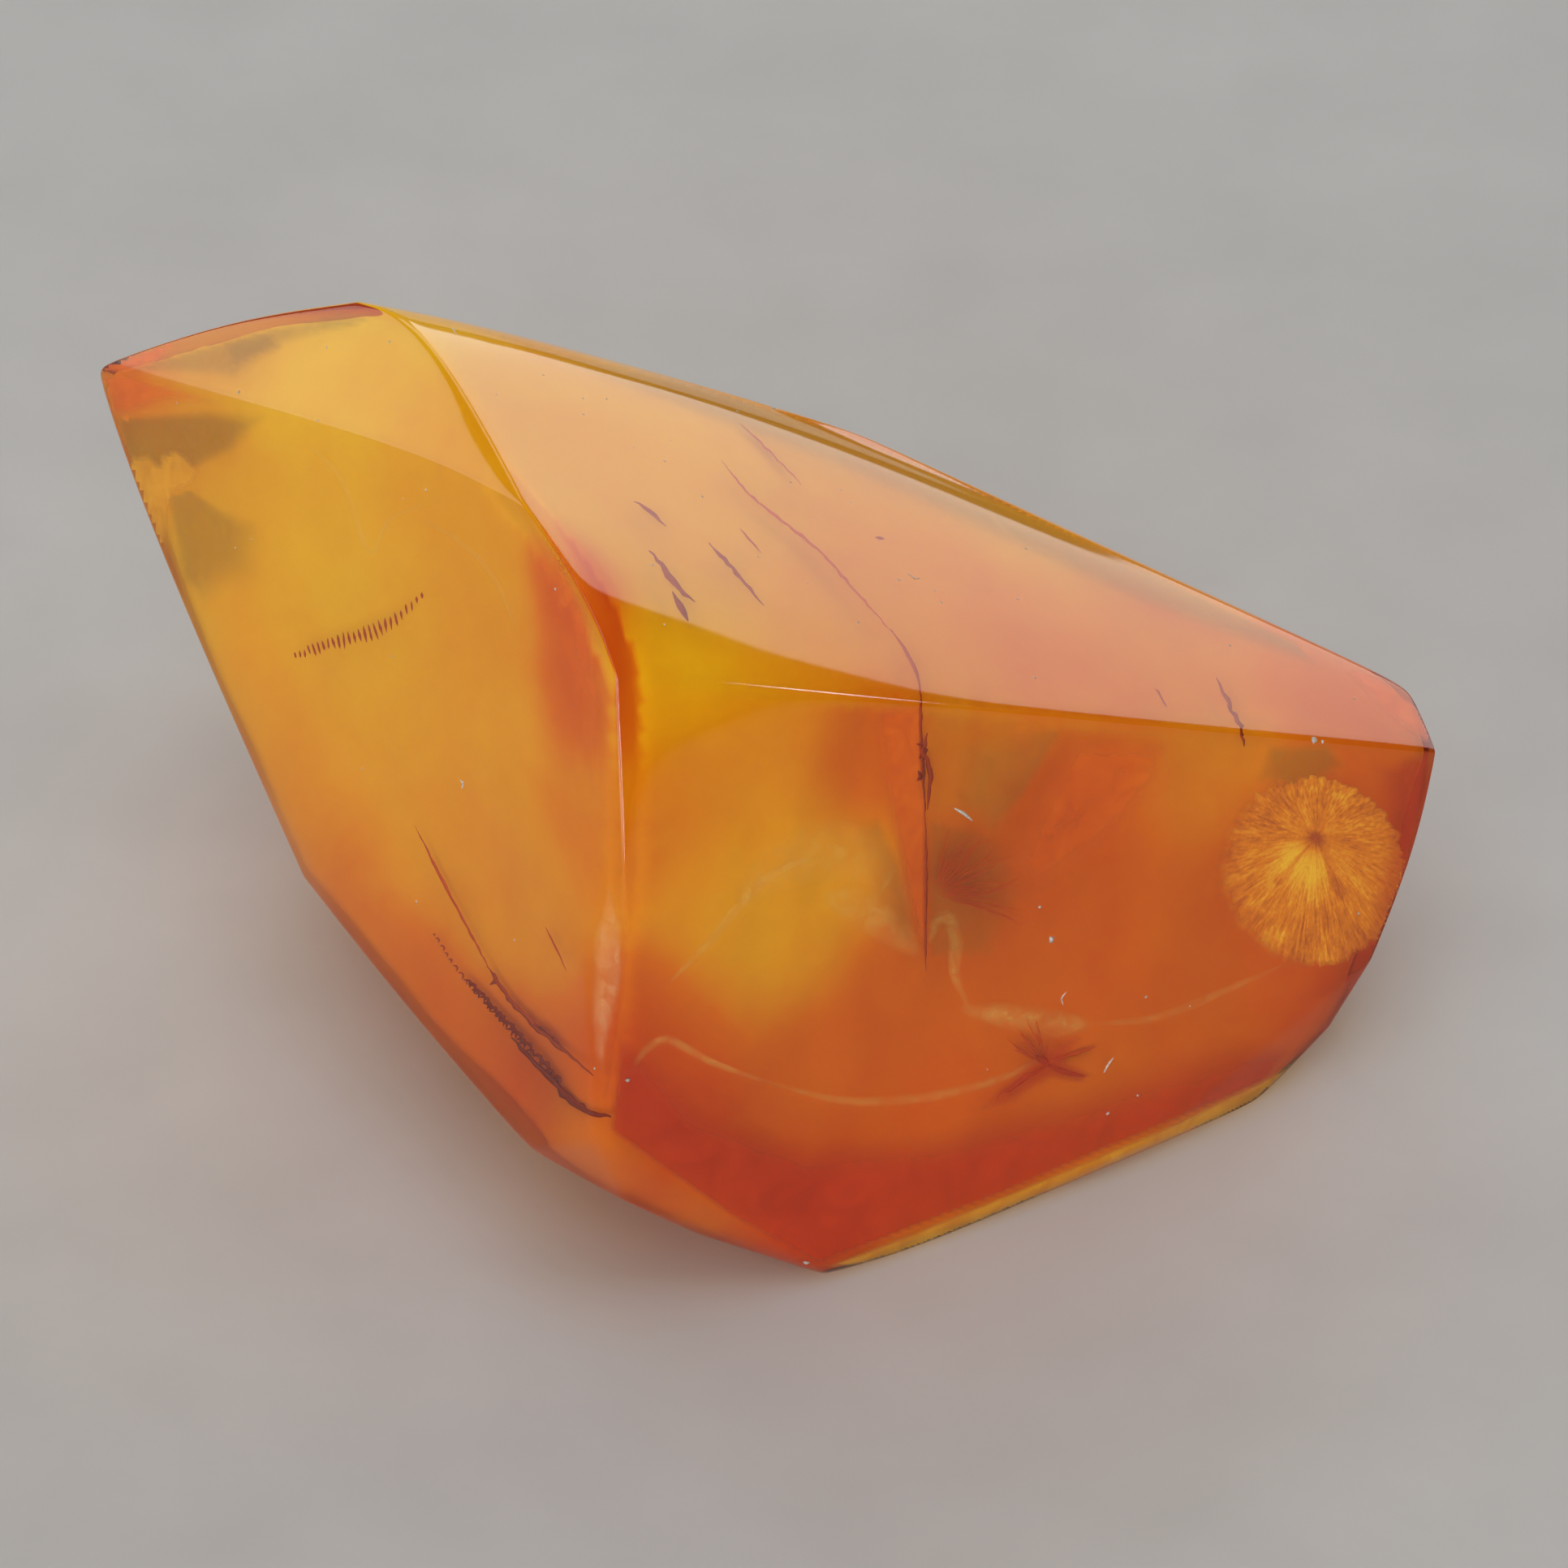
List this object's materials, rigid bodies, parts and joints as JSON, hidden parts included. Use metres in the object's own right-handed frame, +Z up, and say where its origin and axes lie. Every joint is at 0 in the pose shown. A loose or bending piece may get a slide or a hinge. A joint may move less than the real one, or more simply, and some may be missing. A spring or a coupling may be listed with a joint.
{
  "type": "polished amber piece",
  "caption": "Hand-polished piece of natural amber with broad softly domed facets, part clear and part milky, resting on a small flat facet.",
  "frame": {"origin": "on the small flat facet that the piece rests on", "axes": "+Z up from the resting facet, +X along the piece's long way towards its thin end, -Y towards the prow ridge between the two large front facets"},
  "size_m": [0.0497, 0.0334, 0.029],
  "materials": {
    "amber": "polished, honey to orange-red, see-through with milky yellow clouds inside"
  },
  "bodies": {
    "root": {"amber": "amber"}
  },
  "joints": []
}
